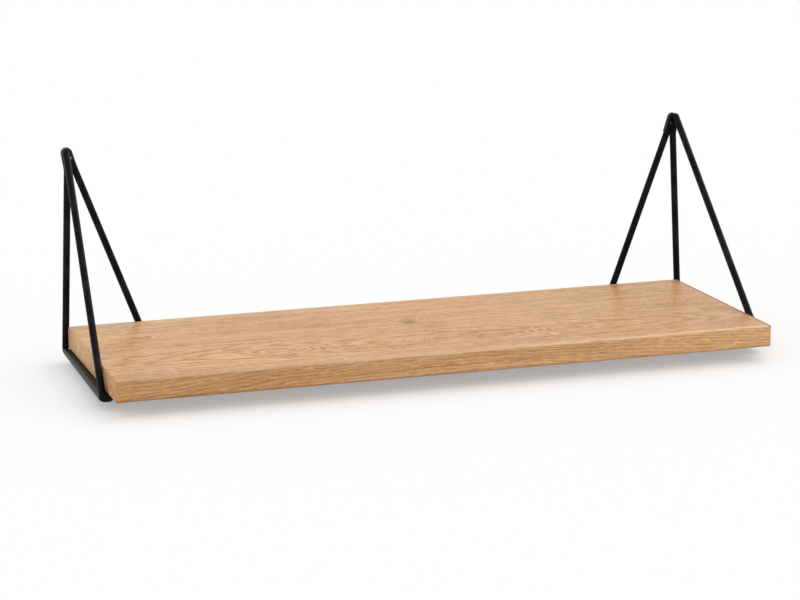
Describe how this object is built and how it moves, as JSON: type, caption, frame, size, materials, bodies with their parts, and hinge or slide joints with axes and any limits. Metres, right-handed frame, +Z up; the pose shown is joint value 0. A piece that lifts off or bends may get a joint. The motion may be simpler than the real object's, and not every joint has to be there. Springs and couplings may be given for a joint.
{
  "type": "wall shelf with brackets",
  "caption": "Straight oak board carried on open triangular brackets of bent round steel bar, screwed to the wall through a lug at the top of each bracket.",
  "frame": {"origin": "on the surface that the base bars stand on, half way along the board and half way between its front edge and the wall", "axes": "+X along the board to the right seen from the front, +Y back towards the wall, +Z up"},
  "size_m": [0.821, 0.2888, 0.2523],
  "materials": {
    "oak": "oiled oak, satin",
    "black_steel": "fine-texture black powder coat",
    "screw_steel": "black oxide"
  },
  "bodies": {
    "root": {"board": "oak", "left_frame_bar": "black_steel", "left_strut": "black_steel", "left_wall_lug": "black_steel", "left_rear_strap": "black_steel", "left_front_tab": "black_steel", "left_board_screws": "screw_steel", "right_frame_bar": "black_steel", "right_strut": "black_steel", "right_wall_lug": "black_steel", "right_rear_strap": "black_steel", "right_front_tab": "black_steel", "right_board_screws": "screw_steel"}
  },
  "joints": []
}
